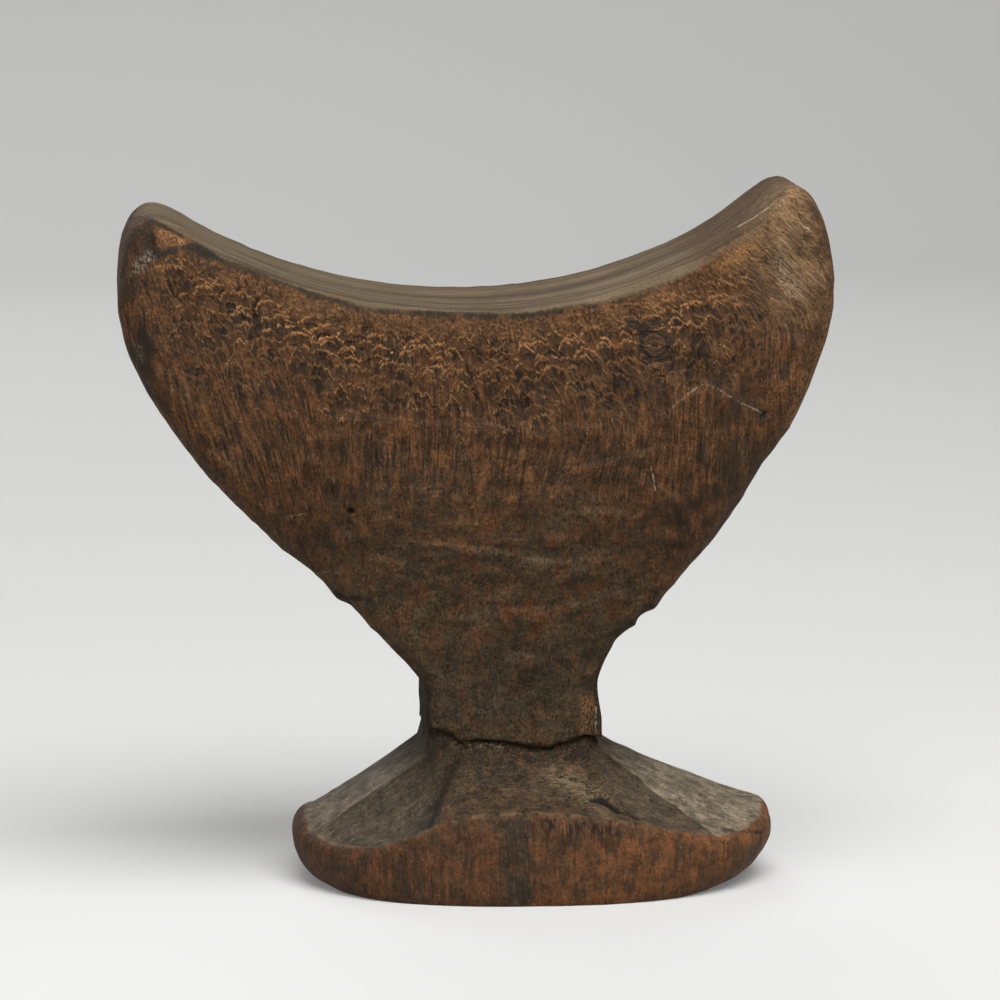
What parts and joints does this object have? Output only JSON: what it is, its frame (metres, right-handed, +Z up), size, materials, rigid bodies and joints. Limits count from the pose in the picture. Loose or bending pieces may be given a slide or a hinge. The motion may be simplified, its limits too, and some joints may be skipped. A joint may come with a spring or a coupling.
{
  "type": "headrest",
  "caption": "Carved wooden headrest: a fan-shaped cradle with a hollowed saddle and two horns, on a short neck over an oval, facetted foot.",
  "frame": {"origin": "on the flat underside, below the centre of the base's oval rim", "axes": "+Z up, +X to the right horn as seen from the front, -Y towards the front"},
  "size_m": [0.1702, 0.086, 0.1687],
  "materials": {
    "cradle_wood": "hand-carved dark brown hardwood, weathered grain with a worn, waxy patina",
    "base_wood": "hand-carved reddish-brown hardwood, greyed on top, dull patina"
  },
  "bodies": {
    "root": {"cradle_and_neck": "cradle_wood", "base": "base_wood"}
  },
  "joints": []
}
